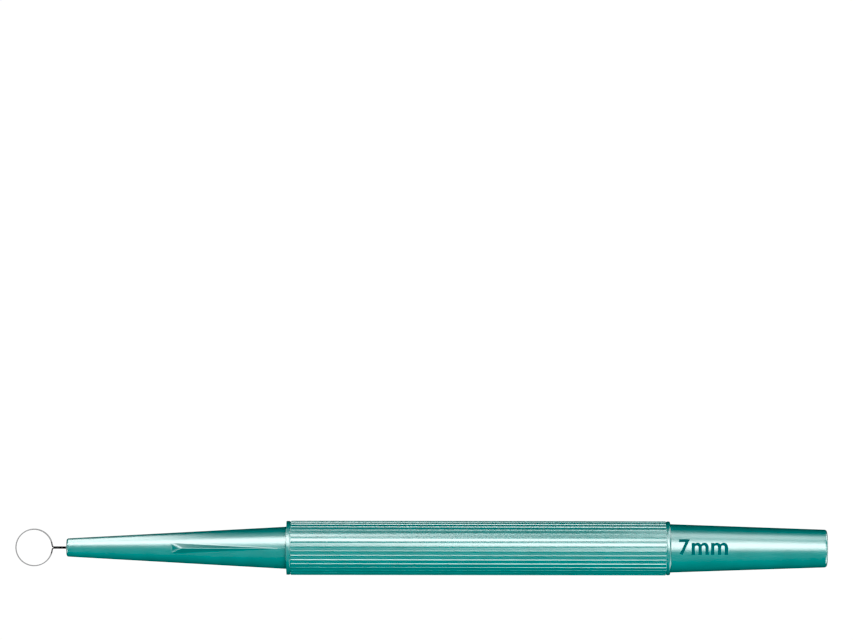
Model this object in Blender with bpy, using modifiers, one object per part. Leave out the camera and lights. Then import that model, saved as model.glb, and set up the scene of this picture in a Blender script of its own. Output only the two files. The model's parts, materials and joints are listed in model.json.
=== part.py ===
"""Dermal curette: a ring blade bent from one steel strip, seated in the nose of a moulded handle.

Metres, +Z up. The instrument lies along X, ring at -X and tail at +X, with the ring's plane level
and the orientation mark on top. The lowest ribs of the grip rest at Z = 0, and the origin is
under the middle of the overall length.
"""

import math

import bmesh
import bpy
from mathutils import Vector

# Ring blade: one strip, bent into a ring whose ends run side by side into the nose
RING_OUTER_DIAMETER = 0.0070
STRIP_THICKNESS = 0.00020
STRIP_WIDTH = 0.0012
LEG_GAP = 0.00002
THROAT_BEND_RADIUS = 0.00030
NECK_LENGTH = 0.00255
LEG_SEAT_DEPTH = 0.0080
BEVEL_HEIGHT = 0.00045
CUTTING_EDGE = 0.00003
BEVEL_STOP_HALF_WIDTH = 0.0010

# Handle: tapered nose, ribbed grip between two plain collars, tapered tail
NOSE_DIAMETER = 0.00337
NOSE_FILLET = 0.00040
CONE_LENGTH = 0.0409
CONE_BASE_DIAMETER = 0.00785
GRIP_LENGTH = 0.0713
COLLAR_DIAMETER = 0.0100
COLLAR_WIDTH = 0.00056
COLLAR_CHAMFER = 0.00010
COLLAR_REAR_FILLET = 0.00025
TAIL_BASE_DIAMETER = 0.0090
TAIL_END_DIAMETER = 0.0070
TAIL_LENGTH = 0.0292
TAIL_FILLET = 0.00050
SEAT_CLEARANCE = 0.00005

# Ribs of the grip
RIB_COUNT = 36
RIB_TIP_DIAMETER = 0.0101
RIB_HEIGHT = 0.00012
RIB_BASE_WIDTH = 0.00030
RIB_TIP_WIDTH = 0.00012
RING_GROOVE_WIDTH = 0.00012
RING_GROOVE_DEPTH = 0.00004

# Orientation mark: a roof-shaped rib on the nose cone, its ridge level with the axis
MARK_START = 0.01965
MARK_END = 0.0403
MARK_FLANK_ANGLE = math.radians(53.6)
MARK_FRONT_ANGLE = math.radians(32.0)
MARK_ROOT_DEPTH = 0.0007

# Fineness of the round forms
TURN_STEPS = 72
RING_STEPS = 96
BEND_STEPS = 6
FILLET_STEPS = 5
MERGE_DISTANCE = 0.000001
SHARP_ANGLE = math.radians(30.0)


def cone_radius(along):
    """Radius of the nose cone at a distance behind the nose face."""
    share = along / CONE_LENGTH
    return (NOSE_DIAMETER + (CONE_BASE_DIAMETER - NOSE_DIAMETER) * share) / 2


def rib_section():
    """Outline of the ribbed grip: a rib centred half a pitch from each side of the top."""
    tip = RIB_TIP_DIAMETER / 2
    root = tip - RIB_HEIGHT
    rib = [
        (-RIB_BASE_WIDTH / 2, root),
        (-RIB_TIP_WIDTH / 2, tip),
        (RIB_TIP_WIDTH / 2, tip),
        (RIB_BASE_WIDTH / 2, root),
    ]
    points = []
    for i in range(RIB_COUNT):
        turn = -(i + 0.5) * 2 * math.pi / RIB_COUNT
        for across, out in rib:
            x = out * math.cos(turn) + across * math.sin(turn)
            y = out * math.sin(turn) - across * math.cos(turn)
            points.append((x, y))
    return points


def rib_root_radius():
    """Nearest that the floor between two ribs comes to the axis."""
    root = RIB_TIP_DIAMETER / 2 - RIB_HEIGHT
    half_pitch = math.pi / RIB_COUNT
    return root * math.cos(half_pitch) + RIB_BASE_WIDTH / 2 * math.sin(half_pitch)


RING_RADIUS = (RING_OUTER_DIAMETER - STRIP_THICKNESS) / 2
HANDLE_LENGTH = CONE_LENGTH + GRIP_LENGTH + TAIL_LENGTH
OVERALL_LENGTH = RING_OUTER_DIAMETER + NECK_LENGTH + HANDLE_LENGTH
RING_X = -OVERALL_LENGTH / 2 + RING_OUTER_DIAMETER / 2
NOSE_X = RING_X + RING_OUTER_DIAMETER / 2 + NECK_LENGTH
AXIS_HEIGHT = max(max(x for x, y in rib_section()), COLLAR_DIAMETER / 2)
ALONG_X = (0.0, math.pi / 2, 0.0)


def clear_scene():
    """Removes what the scene holds."""
    for found in list(bpy.data.objects):
        bpy.data.objects.remove(found, do_unlink=True)


def collection(name):
    """A new collection in the scene."""
    made = bpy.data.collections.new(name)
    bpy.context.scene.collection.children.link(made)
    return made


def material(name, colour, roughness, metallic):
    """A plain Principled material."""
    made = bpy.data.materials.new(name)
    made.use_nodes = True
    shader = made.node_tree.nodes["Principled BSDF"]
    shader.inputs["Base Color"].default_value = (*colour, 1.0)
    shader.inputs["Roughness"].default_value = roughness
    shader.inputs["Metallic"].default_value = metallic
    return made


def add_object(name, mesh, group, location, rotation=(0.0, 0.0, 0.0)):
    """Puts a mesh in the scene."""
    made = bpy.data.objects.new(name, mesh)
    group.objects.link(made)
    made.location = location
    made.rotation_euler = rotation
    return made


def as_tool(made):
    """Marks a body that only cuts or joins another."""
    made.hide_render = True
    made.display_type = "WIRE"
    return made


def boolean(target, tool, operation):
    """Cuts or joins a target by a tool body."""
    modifier = target.modifiers.new(tool.name, "BOOLEAN")
    modifier.operation = operation
    modifier.solver = "EXACT"
    modifier.object = tool


def shade(made):
    """Smooth shading with true edges kept sharp."""
    made.data.shade_smooth()
    made.data.set_sharp_from_angle(angle=SHARP_ANGLE)


def rounded(corners, steps):
    """A chain of (x, y, radius) corners as points, each radius laid in as a tangent arc."""
    points = []
    for i, (x, y, radius) in enumerate(corners):
        here = Vector((x, y))
        if radius == 0.0:
            points.append(here)
            continue
        before = (Vector(corners[i - 1][:2]) - here).normalized()
        after = (Vector(corners[i + 1][:2]) - here).normalized()
        half = before.angle(after) / 2
        centre = here + (before + after).normalized() * radius / math.sin(half)
        start = here + before * radius / math.tan(half) - centre
        end = here + after * radius / math.tan(half) - centre
        sweep = start.angle_signed(end)
        for k in range(steps + 1):
            turn = -sweep * k / steps
            c, s = math.cos(turn), math.sin(turn)
            points.append(centre + Vector((start.x * c - start.y * s, start.x * s + start.y * c)))
    return points


def turned(name, profile, group, location, rotation):
    """A body of revolution about its local Z from (along, radius) points, far end first."""
    mesh = bpy.data.meshes.new(name)
    vertices = [(radius, 0.0, along) for along, radius in profile]
    edges = [(i, i + 1) for i in range(len(vertices) - 1)]
    mesh.from_pydata(vertices, edges, [])
    made = add_object(name, mesh, group, location, rotation)
    screw = made.modifiers.new("Turn", "SCREW")
    screw.axis = "Z"
    screw.steps = TURN_STEPS
    screw.render_steps = TURN_STEPS
    screw.use_merge_vertices = True
    screw.merge_threshold = MERGE_DISTANCE
    return made


def prism(name, outline, start, end, group, location, rotation):
    """A closed flat outline in local XY, extruded along local Z from start to end."""
    curve = bpy.data.curves.new(name + "_outline", "CURVE")
    curve.dimensions = "2D"
    curve.fill_mode = "BOTH"
    curve.extrude = (end - start) / 2
    spline = curve.splines.new("POLY")
    spline.points.add(len(outline) - 1)
    for point, (x, y) in zip(spline.points, outline):
        point.co = (x, y, 0.0, 1.0)
    spline.use_cyclic_u = True
    drawn = bpy.data.objects.new(name + "_outline", curve)
    group.objects.link(drawn)
    bpy.context.view_layer.update()
    evaluated = drawn.evaluated_get(bpy.context.evaluated_depsgraph_get())
    mesh = bpy.data.meshes.new_from_object(evaluated)
    bpy.data.objects.remove(drawn, do_unlink=True)
    form = bmesh.new()
    form.from_mesh(mesh)
    bmesh.ops.remove_doubles(form, verts=form.verts, dist=MERGE_DISTANCE)
    bmesh.ops.recalc_face_normals(form, faces=form.faces)
    bmesh.ops.translate(form, verts=form.verts, vec=(0.0, 0.0, (start + end) / 2))
    form.to_mesh(mesh)
    form.free()
    mesh.name = name
    return add_object(name, mesh, group, location, rotation)


def block(name, size, group, location):
    """A box of the given size, centred at a location."""
    form = bmesh.new()
    bmesh.ops.create_cube(form, size=1.0)
    bmesh.ops.scale(form, verts=form.verts, vec=size)
    mesh = bpy.data.meshes.new(name)
    form.to_mesh(mesh)
    form.free()
    return add_object(name, mesh, group, location)


def arc(centre, radius, first, last, steps):
    """Points on an arc from one angle to another, both included."""
    turns = [first + (last - first) * k / steps for k in range(steps + 1)]
    return [(centre[0] + radius * math.cos(a), centre[1] + radius * math.sin(a)) for a in turns]


def strip_path():
    """Middle line of the strip about the ring's centre, from one leg end round to the other."""
    leg_y = (LEG_GAP + STRIP_THICKNESS) / 2
    bend_y = leg_y + THROAT_BEND_RADIUS
    reach = RING_RADIUS + THROAT_BEND_RADIUS
    bend_x = math.sqrt(reach**2 - bend_y**2)
    throat = math.atan2(bend_y, bend_x)
    leg_end = RING_OUTER_DIAMETER / 2 + NECK_LENGTH + LEG_SEAT_DEPTH
    bend = arc((bend_x, bend_y), THROAT_BEND_RADIUS, -math.pi / 2, -math.pi + throat, BEND_STEPS)
    ring = arc((0.0, 0.0), RING_RADIUS, throat, 2 * math.pi - throat, RING_STEPS)
    other_bend = [(x, -y) for x, y in reversed(bend)]
    return [(leg_end, leg_y)] + bend + ring[1:-1] + other_bend + [(leg_end, -leg_y)]


def make_ring_blade(group, tools, steel):
    """The strip stood on edge along its path, with the ring's upper rim ground to a bevel."""
    centre = (RING_X, 0.0, AXIS_HEIGHT)
    form = bmesh.new()
    lower = [form.verts.new((x, y, -STRIP_WIDTH / 2)) for x, y in strip_path()]
    edges = [form.edges.new(pair) for pair in zip(lower, lower[1:])]
    raised = bmesh.ops.extrude_edge_only(form, edges=edges)["geom"]
    upper = [v for v in raised if isinstance(v, bmesh.types.BMVert)]
    bmesh.ops.translate(form, verts=upper, vec=(0.0, 0.0, STRIP_WIDTH))
    mesh = bpy.data.meshes.new("ring_blade")
    form.to_mesh(mesh)
    form.free()
    blade = add_object("ring_blade", mesh, group, centre)
    solidify = blade.modifiers.new("Strip", "SOLIDIFY")
    solidify.thickness = STRIP_THICKNESS
    solidify.offset = 0.0
    solidify.use_even_offset = True
    boolean(blade, make_grinding_cutter(tools, centre), "DIFFERENCE")
    blade.data.materials.append(steel)
    shade(blade)
    return blade


def make_grinding_cutter(tools, centre):
    """The turned waste that leaves the ring's bevel, open at the throat where the legs leave."""
    inner = RING_OUTER_DIAMETER / 2 - STRIP_THICKNESS
    outer = RING_OUTER_DIAMETER / 2
    top = STRIP_WIDTH / 2
    slope = (outer - inner - CUTTING_EDGE) / BEVEL_HEIGHT
    margin = STRIP_THICKNESS
    edge_high = inner + CUTTING_EDGE - slope * margin
    edge_low = outer + slope * margin
    profile = [
        (top + margin, edge_high),
        (top + margin, edge_low + margin),
        (top - BEVEL_HEIGHT - margin, edge_low),
        (top + margin, edge_high),
    ]
    cutter = turned("bevel_waste", profile, tools, centre, (0.0, 0.0, 0.0))
    reach = RING_OUTER_DIAMETER
    stop_size = (reach, 2 * BEVEL_STOP_HALF_WIDTH, reach)
    stop_place = (centre[0] + reach / 2, 0.0, centre[2])
    boolean(cutter, as_tool(block("bevel_stop", stop_size, tools, stop_place)), "DIFFERENCE")
    return as_tool(cutter)


def handle_corners():
    """(along, radius, fillet) corners of the turned handle, from the nose face to the tail end."""
    shoulder = CONE_LENGTH
    rear = shoulder + GRIP_LENGTH
    front_groove = shoulder + COLLAR_WIDTH
    rear_groove = rear - COLLAR_WIDTH
    collar = COLLAR_DIAMETER / 2
    core = rib_root_radius() - RING_GROOVE_DEPTH
    return [
        (0.0, 0.0, 0.0),
        (0.0, NOSE_DIAMETER / 2, NOSE_FILLET),
        (shoulder, CONE_BASE_DIAMETER / 2, 0.0),
        (shoulder, collar, 0.0),
        (front_groove, collar, 0.0),
        (front_groove + COLLAR_CHAMFER, core, 0.0),
        (rear_groove - COLLAR_CHAMFER, core, 0.0),
        (rear_groove, collar, 0.0),
        (rear, collar, COLLAR_REAR_FILLET),
        (rear, TAIL_BASE_DIAMETER / 2, 0.0),
        (HANDLE_LENGTH, TAIL_END_DIAMETER / 2, TAIL_FILLET),
        (HANDLE_LENGTH, 0.0, 0.0),
    ]


def make_grip_ribs(tools, nose):
    """The ribbed sleeve of the grip, between the ring grooves behind each collar."""
    inset = COLLAR_WIDTH + COLLAR_CHAMFER + RING_GROOVE_WIDTH
    start = CONE_LENGTH + inset
    end = CONE_LENGTH + GRIP_LENGTH - inset
    return as_tool(prism("grip_ribs", rib_section(), start, end, tools, nose, ALONG_X))


def make_mark(tools, nose):
    """The roof-shaped rib on top of the cone, its sloped front cut from the prism's near end."""
    ridge = cone_radius(MARK_END)
    foot = cone_radius(MARK_START)
    root = foot - MARK_ROOT_DEPTH
    half = (ridge - root) / math.tan(MARK_FLANK_ANGLE)
    outline = [(-ridge, 0.0), (-root, half), (-root, -half)]
    mark = prism("orientation_rib", outline, MARK_START, CONE_LENGTH, tools, nose, ALONG_X)
    for vertex in mark.data.vertices:
        if vertex.co.z < (MARK_START + CONE_LENGTH) / 2:
            rise = -vertex.co.x - foot
            vertex.co.z = MARK_START + rise / math.tan(MARK_FRONT_ANGLE)
    return as_tool(mark)


def make_leg_slot(tools):
    """The slot in the nose that takes the two legs of the strip, with clearance all round."""
    width = 2 * STRIP_THICKNESS + LEG_GAP + 2 * SEAT_CLEARANCE
    height = STRIP_WIDTH + 2 * SEAT_CLEARANCE
    depth = LEG_SEAT_DEPTH + SEAT_CLEARANCE
    overshoot = NECK_LENGTH / 2
    place = (NOSE_X + (depth - overshoot) / 2, 0.0, AXIS_HEIGHT)
    return as_tool(block("leg_slot", (depth + overshoot, width, height), tools, place))


def make_handle(group, tools, plastic):
    """The moulded handle in one piece."""
    nose = (NOSE_X, 0.0, AXIS_HEIGHT)
    profile = [(p.x, p.y) for p in reversed(rounded(handle_corners(), FILLET_STEPS))]
    handle = turned("handle", profile, group, nose, ALONG_X)
    boolean(handle, make_grip_ribs(tools, nose), "UNION")
    boolean(handle, make_mark(tools, nose), "UNION")
    boolean(handle, make_leg_slot(tools), "DIFFERENCE")
    handle.data.materials.append(plastic)
    shade(handle)
    return handle


def main():
    """Builds the curette."""
    clear_scene()
    group = collection("Dermal_curette")
    tools = collection("Cutters")
    plastic = material("teal_plastic", (0.0, 0.26, 0.23), 0.42, 0.0)
    steel = material("stainless_steel", (0.62, 0.63, 0.64), 0.25, 1.0)
    make_handle(group, tools, plastic)
    make_ring_blade(group, tools, steel)


main()
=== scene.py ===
import json
import math

import bmesh
import bpy
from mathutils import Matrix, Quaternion, Vector


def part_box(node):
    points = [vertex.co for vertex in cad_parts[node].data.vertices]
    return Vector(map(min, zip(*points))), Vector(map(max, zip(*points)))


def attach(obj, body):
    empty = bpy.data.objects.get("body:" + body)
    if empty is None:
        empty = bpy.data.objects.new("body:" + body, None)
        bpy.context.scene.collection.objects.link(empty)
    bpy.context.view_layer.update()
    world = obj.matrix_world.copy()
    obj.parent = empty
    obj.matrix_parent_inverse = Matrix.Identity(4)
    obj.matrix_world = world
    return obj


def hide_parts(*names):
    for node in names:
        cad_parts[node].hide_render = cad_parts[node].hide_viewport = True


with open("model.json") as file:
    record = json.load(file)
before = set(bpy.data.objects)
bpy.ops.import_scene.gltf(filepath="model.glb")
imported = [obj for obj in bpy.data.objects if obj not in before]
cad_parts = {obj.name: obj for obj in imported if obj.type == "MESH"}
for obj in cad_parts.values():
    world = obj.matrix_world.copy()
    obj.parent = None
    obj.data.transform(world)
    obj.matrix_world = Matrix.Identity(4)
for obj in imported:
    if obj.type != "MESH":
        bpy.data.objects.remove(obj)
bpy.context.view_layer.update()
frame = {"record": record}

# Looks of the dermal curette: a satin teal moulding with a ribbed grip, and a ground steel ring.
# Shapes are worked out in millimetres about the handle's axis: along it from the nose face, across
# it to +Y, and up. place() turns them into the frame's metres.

MM = 0.001
TINY = 1e-9

# Places taken from the frame
MOUNTS = {m["name"]: m["pos_m"] for m in frame["record"]["mounts"]}
NOSE_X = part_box("handle")[0].x
AXIS_Z = MOUNTS["tail_end"][2]
SHOULDER = (MOUNTS["grip_shoulder"][0] - NOSE_X) / MM
HANDLE_LENGTH = (MOUNTS["tail_end"][0] - NOSE_X) / MM
RING_FRONT = (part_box("ring_blade")[0].x - NOSE_X) / MM

# Handle
NOSE_RADIUS = 1.685
NOSE_FILLET = 0.40
CONE_BASE_RADIUS = 3.925
COLLAR_RADIUS = 5.0
COLLAR_WIDTH = 0.56
COLLAR_EDGE = 0.03
COLLAR_REAR_FILLET = 0.25
TAIL_LENGTH = 29.2
TAIL_BASE_RADIUS = 4.5
TAIL_END_RADIUS = 3.5
TAIL_FILLET = 0.50
FOOT_FILLET = 0.08

# Steps round the handle's soft edges, and the distance of the sections that keep what lies beside
# an edge straight
END_FILLET_STEPS = 12
FOOT_STEPS = 5
COLLAR_EDGE_STEPS = 4
COLLAR_FILLET_STEPS = 8
CHAMFER_STEPS = 6
RIB_END_STEPS = 5
SUPPORT_LOOP = 0.04

# Ribs of the grip
RIB_COUNT = 36
RIB_TIP_RADIUS = 5.05
RIB_HEIGHT = 0.12
RIB_TIP_HALF = 0.06
RIB_BASE_HALF = 0.15
RIB_SOFTNESS = 0.022
GROOVE_RADIUS = 4.884
GROOVE_CHAMFER = 0.10
GROOVE_WIDTH = 0.12
RIB_END = 0.09
RIB_OFFSETS = (0.03, 0.055, 0.075, 0.10, 0.13, 0.155, 0.185, 0.25)

# Orientation mark
MARK_START = 19.65
MARK_END = 40.3
MARK_FLANK_SLOPE = math.tan(math.radians(53.6))
MARK_FRONT_SLOPE = math.tan(math.radians(32.0))
RIDGE_SOFTNESS = 0.05
EDGE_SOFTNESS = 0.25
ROOT_SOFTNESS = 0.03
ROOT_REACH = 10 * ROOT_SOFTNESS

# Sections along the nose cone, close together from ahead of the mark's front to behind it
PLAIN_STATIONS = (2.0, 5.0, 9.0, 13.0, 16.0, 18.0)
FACET_LEAD = 0.6
FACET_TRAIL = 0.5
FACET_STEPS = 84
RIDGE_REAR = 38.0
RIDGE_STEPS = 30
MARK_REAR = 40.7
REAR_STEPS = 18

# Sections further ahead of the mark than this spread their points as the one there does
MARK_LEAD = 1.0

# Points of half a section of the cone, from the top, and the angle where its side ends
TOP_POINTS = 8
FACET_POINTS = 12
FLANK_POINTS = 22
SIDE_POINTS = 14
UNDER_POINTS = 45
SIDE_ANGLE = 50.0

# Ring blade
RING_RADIUS = 3.4
STRIP_THICKNESS = 0.20
STRIP_WIDTH = 1.2
LEG_GAP = 0.02
THROAT_BEND_RADIUS = 0.30
NECK_LENGTH = 2.55
LEG_SEAT_DEPTH = 8.0
BEVEL_HEIGHT = 0.45
CUTTING_EDGE = 0.03
BEVEL_STOP_HALF_WIDTH = 1.0
BEVEL_RUN_OUT = 0.35
STRIP_EDGE_ROUND = 0.005
EDGE_SHARPENING = 0.7
CORNER_SHARE = 0.3
BEVEL_FOOT_RISE = 0.010
BEVEL_FOOT_INSET = 0.004
LEG_STEPS = 24
BEND_STEPS = 12
RING_STEPS = 240
STRIP_MERGE = 0.0000001
STRIP_SHARP_ANGLE = 15.0
RING_OUTER_RADIUS = RING_RADIUS + STRIP_THICKNESS / 2
RING_CENTRE = RING_FRONT + RING_OUTER_RADIUS

# Slot in the nose for the strip's two legs
SEAT_CLEARANCE = 0.05
SLOT_HALF_WIDTH = STRIP_THICKNESS + LEG_GAP / 2 + SEAT_CLEARANCE
SLOT_HALF_HEIGHT = STRIP_WIDTH / 2 + SEAT_CLEARANCE
SLOT_DEPTH = LEG_SEAT_DEPTH + SEAT_CLEARANCE

# Camera and picture
PICTURE_WIDTH = 853
PICTURE_HEIGHT = 640
MM_PER_PIXEL = 0.186
OBJECT_CENTRE_PIXEL = (421.45, 548.0)
LENS = 250.0
CAMERA_ROLL = math.radians(0.083)
BLACK_LEVEL = 0.038
SENSOR = 36.0
CAMERA_DISTANCE = PICTURE_WIDTH * MM_PER_PIXEL * MM * LENS / SENSOR


def place(along, across, up):
    """A point in the row frame, in metres."""
    return Vector((NOSE_X + along * MM, across * MM, AXIS_Z + up * MM))


def soft_max(a, b, softness):
    """The greater of two, with a small round fillet where they meet."""
    return (a + b + math.hypot(a - b, softness)) / 2


def soft_min(a, b, softness):
    """The lesser of two, with a small round edge where they meet."""
    return (a + b - math.hypot(a - b, softness)) / 2


def arc(centre, radius, first, last, steps):
    """Points on an arc between two angles in degrees, both included."""
    turns = [math.radians(first + (last - first) * k / steps) for k in range(steps + 1)]
    return [(centre[0] + radius * math.cos(a), centre[1] + radius * math.sin(a)) for a in turns]


def spread(start, end, count):
    """Places from start up to but not including end, close together near both."""
    return [start + (end - start) * (1 - math.cos(math.pi * k / count)) / 2 for k in range(count)]


def evenly(start, end, steps):
    """Places at even steps after start, up to and including end."""
    return [start + (end - start) * k / steps for k in range(1, steps + 1)]


def quarter(steps):
    """Sine and cosine at even steps over a quarter turn, both ends included."""
    turns = [math.pi / 2 * k / steps for k in range(steps + 1)]
    return [(math.sin(turn), math.cos(turn)) for turn in turns]


# Sections of the cone, its mark and the tail

def cone_radius(along):
    """Radius of the nose cone."""
    return NOSE_RADIUS + (CONE_BASE_RADIUS - NOSE_RADIUS) * along / SHOULDER


def tail_radius(along):
    """Radius of the tail."""
    share = (along - (HANDLE_LENGTH - TAIL_LENGTH)) / TAIL_LENGTH
    return TAIL_BASE_RADIUS + (TAIL_END_RADIUS - TAIL_BASE_RADIUS) * share


def facet_height(along):
    """Height above the axis of the mark's sloping front."""
    return cone_radius(MARK_START) + (along - MARK_START) * MARK_FRONT_SLOPE


def mark_limits(along):
    """Where the front facet starts, where the flank starts and where the flank ends, across the mark."""
    radius = cone_radius(along)
    ridge = cone_radius(MARK_END)
    facet = facet_height(along)
    slope = MARK_FLANK_SLOPE
    inside = (1 + slope**2) * radius**2 - ridge**2
    foot = max((ridge * slope - math.sqrt(inside)) / (1 + slope**2), 0.0)
    facet_start = math.sqrt(max(radius**2 - facet**2, 0.0)) if facet > 0 else foot
    facet_end = max((ridge - facet) / slope, 0.0)
    return min(facet_start, foot), min(max(facet_end, min(facet_start, foot)), foot), foot


def mark_height(along, across):
    """Height above the axis of the cone with its mark."""
    radius = cone_radius(along)
    away = math.hypot(across, RIDGE_SOFTNESS) - RIDGE_SOFTNESS / 2
    roof = cone_radius(MARK_END) - away * MARK_FLANK_SLOPE
    circle = math.sqrt(max(radius**2 - across**2, 0.0))
    mark = soft_min(roof, facet_height(along), EDGE_SOFTNESS)
    if circle - mark > ROOT_REACH:
        return circle
    return soft_max(circle, mark, ROOT_SOFTNESS)


def cone_section(along, radius=None):
    """Half of a section, from the top round to the bottom, without the mark where a radius is given."""
    plain = radius is not None
    if not plain:
        radius = cone_radius(along)
    join = radius * math.sin(math.radians(SIDE_ANGLE))
    limits = mark_limits(min(max(along, MARK_START - MARK_LEAD), MARK_END))
    facet_start, facet_end, foot = (min(x, join) for x in limits)
    across = spread(0.0, facet_start, TOP_POINTS) + spread(facet_start, facet_end, FACET_POINTS)
    across += spread(facet_end, foot, FLANK_POINTS) + spread(foot, join, SIDE_POINTS)
    if plain:
        points = [(y, math.sqrt(radius**2 - y**2)) for y in across]
    else:
        points = [(y, mark_height(along, y)) for y in across]
    for k in range(UNDER_POINTS):
        turn = math.radians(SIDE_ANGLE + (180.0 - SIDE_ANGLE) * k / (UNDER_POINTS - 1))
        points.append((radius * math.sin(turn), radius * math.cos(turn)))
    return points


def whole(half):
    """A closed section from its half, mirrored."""
    return half + [(-y, z) for y, z in reversed(half[1:-1])]


# Mesh helpers

MERGE = 0.0000005
SHARP_ANGLE = 32.0


def add_ring(form, along, section):
    """The vertices of one section."""
    return [form.verts.new(place(along, y, z)) for y, z in section]


def skin(form, one, two):
    """Quads between two sections of as many points."""
    count = len(one)
    for i in range(count):
        j = (i + 1) % count
        form.faces.new((one[i], one[j], two[j], two[i]))


def angle_of(vertex):
    """Angle of a vertex about the handle's axis, from the top towards +Y."""
    return math.atan2(vertex.co.y, vertex.co.z - AXIS_Z) % (2 * math.pi)


def bridge(form, one, two):
    """Triangles across a flat ring between two sections of unlike counts, both from the top."""
    i, j = 0, 0
    turns_one = [angle_of(v) for v in one] + [2 * math.pi]
    turns_two = [angle_of(v) for v in two] + [2 * math.pi]
    turns_one[0] = turns_two[0] = 0.0
    while i < len(one) or j < len(two):
        a, b = one[i % len(one)], two[j % len(two)]
        step_one = j >= len(two) or (i < len(one) and turns_one[i + 1] <= turns_two[j + 1])
        if step_one:
            form.faces.new((a, one[(i + 1) % len(one)], b))
            i += 1
        else:
            form.faces.new((a, two[(j + 1) % len(two)], b))
            j += 1


def finish_mesh(form, name, merge=MERGE, sharp_angle=SHARP_ANGLE):
    """A new object in the scene from a bmesh, closed and facing out."""
    bmesh.ops.remove_doubles(form, verts=form.verts, dist=merge)
    bmesh.ops.dissolve_degenerate(form, edges=form.edges, dist=merge)
    bmesh.ops.recalc_face_normals(form, faces=form.faces)
    mesh = bpy.data.meshes.new(name)
    form.to_mesh(mesh)
    form.free()
    made = bpy.data.objects.new(name, mesh)
    bpy.context.scene.collection.objects.link(made)
    mesh.shade_smooth()
    mesh.set_sharp_from_angle(angle=math.radians(sharp_angle))
    return made


# Handle

def nose_stations():
    """(along, radius) of the rounded nose face, from the flat to the cone."""
    lean = math.atan((CONE_BASE_RADIUS - NOSE_RADIUS) / SHOULDER)
    centre_up = cone_radius(NOSE_FILLET * (1 - math.sin(lean))) - NOSE_FILLET * math.cos(lean)
    last = 90.0 + math.degrees(lean)
    return arc((NOSE_FILLET, centre_up), NOSE_FILLET, 180.0, last, END_FILLET_STEPS)


def cone_stations():
    """Places of the cone's sections, close together over the front of the mark."""
    ridge_start = MARK_START + (cone_radius(MARK_END) - cone_radius(MARK_START)) / MARK_FRONT_SLOPE
    fore = MARK_START - FACET_LEAD
    after = ridge_start + FACET_TRAIL
    places = [NOSE_FILLET + SUPPORT_LOOP, *PLAIN_STATIONS, fore]
    places += evenly(fore, after, FACET_STEPS)
    places += evenly(after, RIDGE_REAR, RIDGE_STEPS)
    places += evenly(RIDGE_REAR, MARK_REAR, REAR_STEPS)
    places.append(SHOULDER - FOOT_FILLET - SUPPORT_LOOP)
    return places


def slot_section(count):
    """The slot's mouth as a closed rectangle of points from the top, in step with a circle."""
    points = []
    for k in range(count):
        turn = 2 * math.pi * k / count
        across, up = math.sin(turn), math.cos(turn)
        scale = min(SLOT_HALF_WIDTH / max(abs(across), TINY), SLOT_HALF_HEIGHT / max(abs(up), TINY))
        points.append((across * scale, up * scale))
    return points


def rib_rise(offset):
    """Height of a rib at a distance along the surface from its middle."""
    ramp = (RIB_BASE_HALF - abs(offset)) * RIB_HEIGHT / (RIB_BASE_HALF - RIB_TIP_HALF)
    return soft_min(RIB_HEIGHT, soft_max(0.0, ramp, RIB_SOFTNESS), RIB_SOFTNESS)


def rib_angles():
    """Angles of the grip's points, from the top, close together on each rib."""
    pitch = 2 * math.pi / RIB_COUNT
    half_width = RIB_TIP_RADIUS * pitch / 2
    offsets = [-x for x in reversed(RIB_OFFSETS)] + [0.0] + list(RIB_OFFSETS)
    angles = []
    for i in range(RIB_COUNT):
        angles.append(i * pitch)
        middle = (i + 0.5) * pitch
        angles += [middle + x / half_width * pitch / 2 for x in offsets]
    return angles


def grip_section(angles, base, ribs):
    """A section of the grip: a round base with the ribs at a share of their full height."""
    pitch = 2 * math.pi / RIB_COUNT
    points = []
    for turn in angles:
        offset = ((turn / pitch) % 1.0 - 0.5) * pitch * RIB_TIP_RADIUS
        full = RIB_TIP_RADIUS - RIB_HEIGHT + rib_rise(offset)
        radius = base + (full - base) * ribs
        points.append((radius * math.sin(turn), radius * math.cos(turn)))
    return points


def bare(points):
    """Stations without ribs at some (along, radius) points."""
    return [(along, radius, 0.0) for along, radius in points]


def grip_stations():
    """(along, base radius, share of the ribs) from the front collar's face to the rear collar's."""
    front = SHOULDER
    rear = HANDLE_LENGTH - TAIL_LENGTH
    collar = COLLAR_RADIUS
    edge = COLLAR_EDGE
    fillet = COLLAR_REAR_FILLET
    groove = front + COLLAR_WIDTH
    fall = collar - GROOVE_RADIUS
    chamfer = [(GROOVE_CHAMFER * s, collar - fall * (1 - c)) for s, c in quarter(CHAMFER_STEPS)]
    rises = [(RIB_END * (1 - c), s) for s, c in quarter(RIB_END_STEPS)]
    rib_start = groove + GROOVE_CHAMFER + GROOVE_WIDTH
    rib_end = rear - (rib_start - front)
    stations = bare(arc((front + edge, collar - edge), edge, 180.0, 90.0, COLLAR_EDGE_STEPS))
    stations += bare([(front + edge + SUPPORT_LOOP, collar), (groove - SUPPORT_LOOP, collar)])
    stations += bare([(groove + x, r) for x, r in chamfer])
    stations += [(rib_start + x, GROOVE_RADIUS, share) for x, share in rises]
    stations += [(rib_end - x, GROOVE_RADIUS, share) for x, share in reversed(rises)]
    stations += bare([(rear - COLLAR_WIDTH - x, r) for x, r in reversed(chamfer)])
    stations += bare([(rear - COLLAR_WIDTH + SUPPORT_LOOP, collar)])
    stations += bare(arc((rear - fillet, collar - fillet), fillet, 90.0, 0.0, COLLAR_FILLET_STEPS))
    return stations


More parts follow.
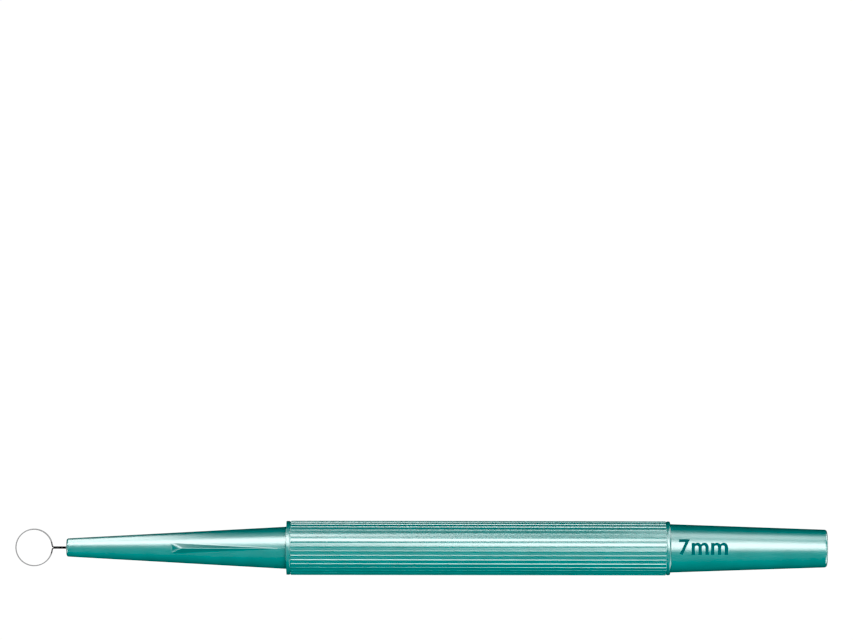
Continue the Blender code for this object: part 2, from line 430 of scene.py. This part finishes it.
def tail_stations():
    """Stations from the tail's foot at the rear collar to its end face."""
    rear = HANDLE_LENGTH - TAIL_LENGTH
    foot = FOOT_FILLET
    slope = (TAIL_END_RADIUS - TAIL_BASE_RADIUS) / TAIL_LENGTH
    lean = math.atan(-slope)
    centre_along = HANDLE_LENGTH - TAIL_FILLET
    touch = centre_along + TAIL_FILLET * math.sin(lean)
    centre_up = TAIL_END_RADIUS + slope * (touch - HANDLE_LENGTH) - TAIL_FILLET * math.cos(lean)
    first = 90.0 - math.degrees(lean)
    places = (rear + foot + SUPPORT_LOOP, rear + 0.5 * TAIL_LENGTH, touch - SUPPORT_LOOP)
    stations = bare(arc((rear + foot, TAIL_BASE_RADIUS + foot), foot, 180.0, 270.0, FOOT_STEPS))
    stations += bare([(along, tail_radius(along)) for along in places])
    stations += bare(arc((centre_along, centre_up), TAIL_FILLET, first, 0.0, END_FILLET_STEPS))
    return stations


def make_handle(material):
    """The moulded handle, in place of the plain solid: slot, nose, cone with its mark, grip and tail."""
    form = bmesh.new()
    count = len(whole(cone_section(0.0, NOSE_RADIUS)))
    floor = add_ring(form, SLOT_DEPTH, slot_section(count))
    form.faces.new(floor)
    mouth = add_ring(form, 0.0, slot_section(count))
    skin(form, floor, mouth)
    before = None
    for along, radius in nose_stations():
        ring = add_ring(form, along, whole(cone_section(along, radius)))
        if before is None:
            bridge(form, mouth, ring)
        else:
            skin(form, before, ring)
        before = ring
    for along in cone_stations():
        ring = add_ring(form, along, whole(cone_section(along)))
        skin(form, before, ring)
        before = ring
    foot = FOOT_FILLET
    root = arc((SHOULDER - foot, CONE_BASE_RADIUS + foot), foot, 270.0, 360.0, FOOT_STEPS)
    for along, radius in root:
        ring = add_ring(form, along, whole(cone_section(along, radius)))
        skin(form, before, ring)
        before = ring
    angles = rib_angles()
    joined = False
    for along, base, ribs in grip_stations() + tail_stations():
        ring = add_ring(form, along, grip_section(angles, base, ribs))
        if joined:
            skin(form, before, ring)
        else:
            bridge(form, before, ring)
            joined = True
        before = ring
    form.faces.new(before)
    made = finish_mesh(form, "handle_moulding")
    made.data.materials.append(material)
    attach(made, "root")
    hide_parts("handle")
    return made


# Ring blade

def strip_line():
    """Middle line of the strip about the ring's centre, as (x, y, tangent angle) from leg to leg."""
    leg_y = (LEG_GAP + STRIP_THICKNESS) / 2
    bend_y = leg_y + THROAT_BEND_RADIUS
    reach = RING_RADIUS + THROAT_BEND_RADIUS
    bend_x = math.sqrt(reach**2 - bend_y**2)
    throat = math.atan2(bend_y, bend_x)
    leg_end = RING_OUTER_RADIUS + NECK_LENGTH + LEG_SEAT_DEPTH
    leg = []
    for k in range(LEG_STEPS):
        leg.append((leg_end + (bend_x - leg_end) * k / LEG_STEPS, leg_y, math.pi))
    for k in range(BEND_STEPS + 1):
        turn = -math.pi / 2 + (-math.pi / 2 + throat) * k / BEND_STEPS
        x = bend_x + THROAT_BEND_RADIUS * math.cos(turn)
        y = bend_y + THROAT_BEND_RADIUS * math.sin(turn)
        leg.append((x, y, turn - math.pi / 2))
    ring = []
    for k in range(1, RING_STEPS):
        turn = throat + (2 * math.pi - 2 * throat) * k / RING_STEPS
        ring.append((RING_RADIUS * math.cos(turn), RING_RADIUS * math.sin(turn), turn + math.pi / 2))
    other = [(x, -y, math.pi - turn) for x, y, turn in reversed(leg)]
    return leg + ring + other


def bevel_share(x, y):
    """How much of the bevel is ground at a place on the ring: none at the throat, all elsewhere."""
    if x > 0 and abs(y) < BEVEL_STOP_HALF_WIDTH:
        return 0.0
    if x > 0 and abs(y) < BEVEL_STOP_HALF_WIDTH + BEVEL_RUN_OUT:
        share = (abs(y) - BEVEL_STOP_HALF_WIDTH) / BEVEL_RUN_OUT
        return math.sin(share * math.pi / 2)
    return 1.0 if x < RING_RADIUS else 0.0


def strip_section(bevel):
    """(outward, up) points of the strip's section: soft corners, and the outer upper corner ground off."""
    half = STRIP_THICKNESS / 2
    top = STRIP_WIDTH / 2
    r = STRIP_EDGE_ROUND
    flat = half - bevel * (STRIP_THICKNESS - CUTTING_EDGE)
    low = top - bevel * BEVEL_HEIGHT
    nick = r * (1 - EDGE_SHARPENING * bevel)
    outer = nick * (1 - bevel)
    return [
        (-half, -top + r),
        (-half, top - nick),
        (-half + CORNER_SHARE * nick, top - CORNER_SHARE * nick),
        (-half + nick, top),
        (flat - outer, top),
        (flat - CORNER_SHARE * outer, top - CORNER_SHARE * outer),
        (half - BEVEL_FOOT_INSET * bevel, low + BEVEL_FOOT_RISE * bevel - outer),
        (half, low - BEVEL_FOOT_RISE - nick),
        (half, -top + r),
        (half - CORNER_SHARE * r, -top + CORNER_SHARE * r),
        (half - r, -top),
        (-half + r, -top),
        (-half + CORNER_SHARE * r, -top + CORNER_SHARE * r),
    ]


def make_ring_blade(material):
    """The steel strip, swept on edge along its line, with its bevel running out at the throat."""
    form = bmesh.new()
    uv = form.loops.layers.uv.new("strip")
    rings = []
    travelled = [0.0]
    line = strip_line()
    for (x0, y0, _), (x1, y1, _) in zip(line, line[1:]):
        travelled.append(travelled[-1] + math.hypot(x1 - x0, y1 - y0))
    for x, y, turn in line:
        outward = Vector((math.sin(turn), -math.cos(turn)))
        ring = []
        for out, up in strip_section(bevel_share(x, y)):
            spot = Vector((x, y)) + outward * out
            ring.append(form.verts.new(place(RING_CENTRE + spot.x, spot.y, up)))
        rings.append(ring)
    count = len(rings[0])
    for k, (one, two) in enumerate(zip(rings, rings[1:])):
        for i in range(count):
            j = (i + 1) % count
            face = form.faces.new((one[i], one[j], two[j], two[i]))
            for loop, u, v in zip(face.loops, (k, k, k + 1, k + 1), (i, i + 1, i + 1, i)):
                loop[uv].uv = (travelled[u], v / count)
    form.faces.new(rings[0])
    form.faces.new(rings[-1])
    made = finish_mesh(form, "ring_strip", STRIP_MERGE, STRIP_SHARP_ANGLE)
    made.data.materials.append(material)
    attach(made, "root")
    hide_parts("ring_blade")
    return made


# Size mark

# Each glyph with its left, right, top and base pixels in the photograph
GLYPHS = (
    ("7", 679.2, 690.2, 538.8, 554.2),
    ("m", 691.8, 708.8, 542.2, 554.2),
    ("m", 711.2, 728.2, 542.2, 554.2),
)
GLYPH_WEIGHT = 0.022
GLYPH_HALF_DEPTH = 0.5
GLYPH_MERGE = 0.0001
INK_THICKNESS = 0.012
INK_DEPTH = 0.03
INK_STEP = 0.12
INK_CUT_TOLERANCE = 0.000001
INK_MERGE = 0.0000002


def under_pixel(pixel_x, pixel_y, up):
    """Place along and across at a height above the axis that the camera shows at a pixel."""
    shrink = 1 - up * MM / CAMERA_DISTANCE
    along = (pixel_x - PICTURE_WIDTH / 2) * shrink + PICTURE_WIDTH / 2 - OBJECT_CENTRE_PIXEL[0]
    across = (PICTURE_HEIGHT / 2 - pixel_y) * shrink + OBJECT_CENTRE_PIXEL[1] - PICTURE_HEIGHT / 2
    return along * MM_PER_PIXEL - NOSE_X / MM, across * MM_PER_PIXEL


def add_glyph(form, letter, left_pixel, right_pixel, top_pixel, base_pixel):
    """Adds one glyph's flat solid, fitted to its box, along the handle and around it."""
    text = bpy.data.curves.new("glyph", "FONT")
    text.body = letter
    text.offset = GLYPH_WEIGHT
    text.extrude = GLYPH_HALF_DEPTH
    drawn = bpy.data.objects.new("glyph", text)
    bpy.context.scene.collection.objects.link(drawn)
    bpy.context.view_layer.update()
    evaluated = drawn.evaluated_get(bpy.context.evaluated_depsgraph_get())
    mesh = bpy.data.meshes.new_from_object(evaluated)
    bpy.data.objects.remove(drawn, do_unlink=True)
    left, top = under_pixel(left_pixel, top_pixel, TAIL_END_RADIUS)
    right, base = under_pixel(right_pixel, base_pixel, TAIL_END_RADIUS)
    radius = tail_radius((left + right) / 2)
    low, high = (radius * math.asin(edge / radius) for edge in (base, top))
    xs = [v.co.x for v in mesh.vertices]
    ys = [v.co.y for v in mesh.vertices]
    for v in mesh.vertices:
        v.co.x = left + (v.co.x - min(xs)) * (right - left) / (max(xs) - min(xs))
        v.co.y = low + (v.co.y - min(ys)) * (high - low) / (max(ys) - min(ys))
    form.from_mesh(mesh)


def make_size_mark(material):
    """The printed size, a plain numeral and unit laid round the tail as a film of ink."""
    form = bmesh.new()
    for glyph in GLYPHS:
        add_glyph(form, *glyph)
    bmesh.ops.remove_doubles(form, verts=form.verts, dist=GLYPH_MERGE)
    cut = min(v.co.y for v in form.verts)
    high = max(v.co.y for v in form.verts)
    while cut < high:
        geometry = form.verts[:] + form.edges[:] + form.faces[:]
        bmesh.ops.bisect_plane(
            form, geom=geometry, plane_co=(0, cut, 0), plane_no=(0, 1, 0), dist=INK_CUT_TOLERANCE
        )
        cut += INK_STEP
    bmesh.ops.triangulate(form, faces=form.faces)
    for v in form.verts:
        along, around = v.co.x, v.co.y
        lift = INK_THICKNESS if v.co.z > 0 else -INK_DEPTH
        reach = tail_radius(along) + lift
        turn = around / tail_radius(along)
        v.co = place(along, reach * math.sin(turn), reach * math.cos(turn))
    made = finish_mesh(form, "size_mark", INK_MERGE)
    made.data.materials.append(material)
    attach(made, "root")
    return made


# Materials

# What a noise texture's values mostly lie between
NOISE_LOW = 0.3
NOISE_HIGH = 0.7


def new_material(name):
    """A node material with its shader, ready for links."""
    made = bpy.data.materials.new(name)
    made.use_nodes = True
    return made, made.node_tree, made.node_tree.nodes["Principled BSDF"]


def noise(tree, coordinates, scale, detail, roughness):
    """A noise texture on some coordinates."""
    node = tree.nodes.new("ShaderNodeTexNoise")
    node.inputs["Scale"].default_value = scale
    node.inputs["Detail"].default_value = detail
    node.inputs["Roughness"].default_value = roughness
    tree.links.new(coordinates, node.inputs["Vector"])
    return node.outputs["Fac"]


def mapped(tree, value, low, high):
    """A noise's value carried to another range."""
    node = tree.nodes.new("ShaderNodeMapRange")
    node.inputs["From Min"].default_value = NOISE_LOW
    node.inputs["From Max"].default_value = NOISE_HIGH
    node.inputs["To Min"].default_value = low
    node.inputs["To Max"].default_value = high
    tree.links.new(value, node.inputs["Value"])
    return node.outputs["Result"]


def mixed(tree, share, one, two):
    """A colour between two, by a share."""
    node = tree.nodes.new("ShaderNodeMix")
    node.data_type = "RGBA"
    tree.links.new(share, node.inputs["Factor"])
    node.inputs["A"].default_value = (*one, 1.0)
    node.inputs["B"].default_value = (*two, 1.0)
    return node.outputs["Result"]


def bump(tree, height, strength, distance):
    """A bump from a height."""
    node = tree.nodes.new("ShaderNodeBump")
    node.inputs["Strength"].default_value = strength
    node.inputs["Distance"].default_value = distance
    tree.links.new(height, node.inputs["Height"])
    return node.outputs["Normal"]


def teal_plastic():
    """Satin moulded plastic: fine spark-eroded grain, faint clouding of the pigment."""
    made, tree, shader = new_material("teal_plastic")
    coordinates = tree.nodes.new("ShaderNodeTexCoord").outputs["Object"]
    cloud = noise(tree, coordinates, scale=260.0, detail=4.0, roughness=0.6)
    colour = mixed(tree, mapped(tree, cloud, 0.0, 1.0), (0.0, 0.130, 0.120), (0.0, 0.152, 0.142))
    tree.links.new(colour, shader.inputs["Base Color"])
    grain = noise(tree, coordinates, scale=5200.0, detail=3.0, roughness=0.6)
    tree.links.new(mapped(tree, grain, 0.31, 0.37), shader.inputs["Roughness"])
    shader.inputs["Specular IOR Level"].default_value = 1.0
    shader.inputs["IOR"].default_value = 1.55
    shader.inputs["Coat Weight"].default_value = 1.0
    shader.inputs["Coat Roughness"].default_value = 0.28
    shader.inputs["Coat IOR"].default_value = 1.8
    normal = bump(tree, grain, strength=0.24, distance=0.00002)
    tree.links.new(normal, shader.inputs["Normal"])
    tree.links.new(normal, shader.inputs["Coat Normal"])
    return made


def ground_steel():
    """Stainless strip: fine rolling lines along it, clouded by polishing."""
    made, tree, shader = new_material("ground_steel")
    coordinates = tree.nodes.new("ShaderNodeUVMap")
    coordinates.uv_map = "strip"
    stretch = tree.nodes.new("ShaderNodeMapping")
    stretch.inputs["Scale"].default_value = (1.2, 160.0, 1.0)
    tree.links.new(coordinates.outputs["UV"], stretch.inputs["Vector"])
    lines = noise(tree, stretch.outputs["Vector"], scale=1.0, detail=3.0, roughness=0.6)
    colour = mixed(tree, mapped(tree, lines, 0.0, 1.0), (0.56, 0.57, 0.58), (0.68, 0.68, 0.68))
    tree.links.new(colour, shader.inputs["Base Color"])
    tree.links.new(mapped(tree, lines, 0.09, 0.14), shader.inputs["Roughness"])
    shader.inputs["Metallic"].default_value = 1.0
    normal = bump(tree, lines, strength=0.10, distance=0.000004)
    tree.links.new(normal, shader.inputs["Normal"])
    return made


def print_ink():
    """Pad-printed ink: dark blue-green, slightly uneven."""
    made, tree, shader = new_material("print_ink")
    coordinates = tree.nodes.new("ShaderNodeTexCoord").outputs["Object"]
    cloud = noise(tree, coordinates, scale=1800.0, detail=3.0, roughness=0.6)
    colour = mixed(tree, mapped(tree, cloud, 0.0, 1.0), (0.0, 0.062, 0.064), (0.0, 0.072, 0.074))
    tree.links.new(colour, shader.inputs["Base Color"])
    tree.links.new(mapped(tree, cloud, 0.55, 0.65), shader.inputs["Roughness"])
    shader.inputs["Specular IOR Level"].default_value = 0.08
    return made


# Studio

FLOOR_BRIGHTNESS = 1.03
STAGE_REACH = 4.0


def pale_surface():
    """Even white for the floor and the backdrop, whatever light falls on them."""
    made, _, shader = new_material("pale_surface")
    shader.inputs["Base Color"].default_value = (0.0, 0.0, 0.0, 1.0)
    shader.inputs["Roughness"].default_value = 1.0
    shader.inputs["Specular IOR Level"].default_value = 0.0
    shader.inputs["Emission Color"].default_value = (1.0, 1.0, 1.0, 1.0)
    shader.inputs["Emission Strength"].default_value = FLOOR_BRIGHTNESS
    made.cycles.emission_sampling = "NONE"
    return made


def add_stage(form, name, material):
    """A piece of the stage from a bmesh, seen by the camera and not mirrored or shading the object."""
    mesh = bpy.data.meshes.new(name)
    form.to_mesh(mesh)
    form.free()
    made = bpy.data.objects.new(name, mesh)
    bpy.context.scene.collection.objects.link(made)
    mesh.materials.append(material)
    made.visible_diffuse = False
    made.visible_glossy = False
    made.visible_shadow = False


def make_stage():
    """A wide pale floor, and a dome of the same white round it."""
    white = pale_surface()
    form = bmesh.new()
    bmesh.ops.create_grid(form, x_segments=1, y_segments=1, size=STAGE_REACH)
    add_stage(form, "floor", white)
    form = bmesh.new()
    bmesh.ops.create_uvsphere(form, u_segments=48, v_segments=24, radius=STAGE_REACH)
    add_stage(form, "backdrop", white)


def softbox(name, azimuth, elevation, distance, width, height, radiance, target=(0.0, 0.0, 0.0), roll=0.0):
    """A rectangular light of a given brightness, facing the object, turned about its own middle by roll."""
    light = bpy.data.lights.new(name, "AREA")
    light.shape = "RECTANGLE"
    light.size = width
    light.size_y = height
    light.energy = radiance * math.pi * width * height
    made = bpy.data.objects.new(name, light)
    bpy.context.scene.collection.objects.link(made)
    a, e = math.radians(azimuth), math.radians(elevation)
    way = Vector((math.cos(a) * math.cos(e), math.sin(a) * math.cos(e), math.sin(e)))
    made.location = Vector(target) + way * distance
    made.rotation_mode = "QUATERNION"
    turn = Quaternion((0.0, 0.0, 1.0), math.radians(roll))
    made.rotation_quaternion = way.to_track_quat("Z", "Y") @ turn
    made.visible_camera = False
    return made


def receivers(name, pieces):
    """A collection of the pieces that a light reaches."""
    made = bpy.data.collections.new(name)
    for piece in pieces:
        made.objects.link(piece)
    return made


def make_lights(pieces):
    """The plastic's light: a long softbox and a dim low card past the far side, soft light from above
    and below, and panels and two near cards that only the gloss shows."""
    key = softbox("key", 90.0, 60.0, 0.5, 0.90, 0.24, 6.7, target=(0.02, 0.0, 0.0), roll=-50.0)
    far_card = softbox("far_card", 90.0, 4.0, 1.2, 1.6, 0.30, 0.3)
    lights = [key, far_card]
    for name, elevation, distance, height, radiance in (
        ("overhead", 46.0, 1.2, 1.0, 5.2),
        ("floor_bounce", -89.0, 0.5, 0.6, 0.6),
    ):
        soft = softbox(name, -90.0, elevation, distance, 1.6, height, radiance)
        soft.visible_glossy = False
        lights.append(soft)
    for name, azimuth, elevation, distance, width, height, radiance, middle in (
        ("nose_panel", 180.0, -15.0, 0.9, 0.90, 0.30, 7.0, 0.0),
        ("tail_panel", 0.0, -15.0, 0.9, 0.90, 0.30, 4.0, 0.0),
        ("far_edge_light", 143.0, 28.0, 0.9, 0.14, 0.14, 20.0, 0.0),
        ("near_edge_light", -148.0, 26.0, 0.9, 0.12, 0.12, 18.0, 0.0),
        ("nose_strip", 180.0, 56.0, 0.9, 0.50, 0.06, 15.0, 0.0),
        ("tail_strip", 0.0, 40.0, 0.9, 0.70, 0.08, 14.0, 0.0),
        ("tail_far_side", 46.0, 0.0, 0.9, 0.30, 0.60, 6.0, 0.0),
        ("tail_near_side", -46.0, 0.0, 0.9, 0.30, 0.60, 6.0, 0.0),
        ("nose_card", 97.0, 4.0, 0.06, 0.034, 0.05, 4.8, -0.062),
        ("tail_card", 86.0, 28.0, 0.07, 0.045, 0.030, 2.8, 0.064),
    ):
        panel = softbox(name, azimuth, elevation, distance, width, height, radiance, (middle, 0.0, 0.0))
        panel.visible_diffuse = False
        lights.append(panel)
    plastic_only = receivers("plastic_only", pieces)
    for light in lights:
        light.light_linking.receiver_collection = plastic_only


def make_steel_room(steel):
    """Low walls and a floor of soft light round the ring that only the steel mirrors, open at the top."""
    steel_only = receivers("steel_only", [steel])
    for name, azimuth, elevation, radiance in (
        ("steel_wall_east", 0.0, 5.0, 0.50),
        ("steel_wall_north", 90.0, 5.0, 0.80),
        ("steel_wall_west", 180.0, 5.0, 0.55),
        ("steel_wall_south", -90.0, 5.0, 0.40),
        ("steel_floor", 180.0, -89.0, 0.60),
    ):
        wall = softbox(name, azimuth, elevation, 0.5, 1.0, 0.9, radiance)
        wall.visible_diffuse = False
        wall.light_linking.receiver_collection = steel_only


def make_world():
    """A dim even light from all sides, which fills the shadows and isn't mirrored."""
    world = bpy.data.worlds.new("studio")
    world.use_nodes = True
    background = world.node_tree.nodes["Background"]
    background.inputs["Color"].default_value = (1.0, 1.0, 1.0, 1.0)
    background.inputs["Strength"].default_value = 0.30
    bpy.context.scene.world = world
    world.cycles_visibility.glossy = False


def make_camera():
    """Straight down, with the object low in the picture as in the photograph."""
    data = bpy.data.cameras.new("camera")
    data.sensor_width = SENSOR
    data.lens = LENS
    camera = bpy.data.objects.new("camera", data)
    bpy.context.scene.collection.objects.link(camera)
    x = (PICTURE_WIDTH / 2 - OBJECT_CENTRE_PIXEL[0]) * MM_PER_PIXEL * MM
    y = (OBJECT_CENTRE_PIXEL[1] - PICTURE_HEIGHT / 2) * MM_PER_PIXEL * MM
    camera.location = (x, y, AXIS_Z + CAMERA_DISTANCE)
    camera.rotation_euler = (0.0, 0.0, CAMERA_ROLL)
    data.clip_start = 0.05
    data.clip_end = 20.0
    bpy.context.scene.camera = camera
    view = bpy.context.scene.view_settings
    view.view_transform = "Standard"
    view.use_curve_mapping = True
    view.curve_mapping.black_level = (BLACK_LEVEL, BLACK_LEVEL, BLACK_LEVEL)
    view.curve_mapping.update()


handle = make_handle(teal_plastic())
ring_blade = make_ring_blade(ground_steel())
size_mark = make_size_mark(print_ink())
make_stage()
make_lights([handle, size_mark])
make_steel_room(ring_blade)
make_world()
make_camera()
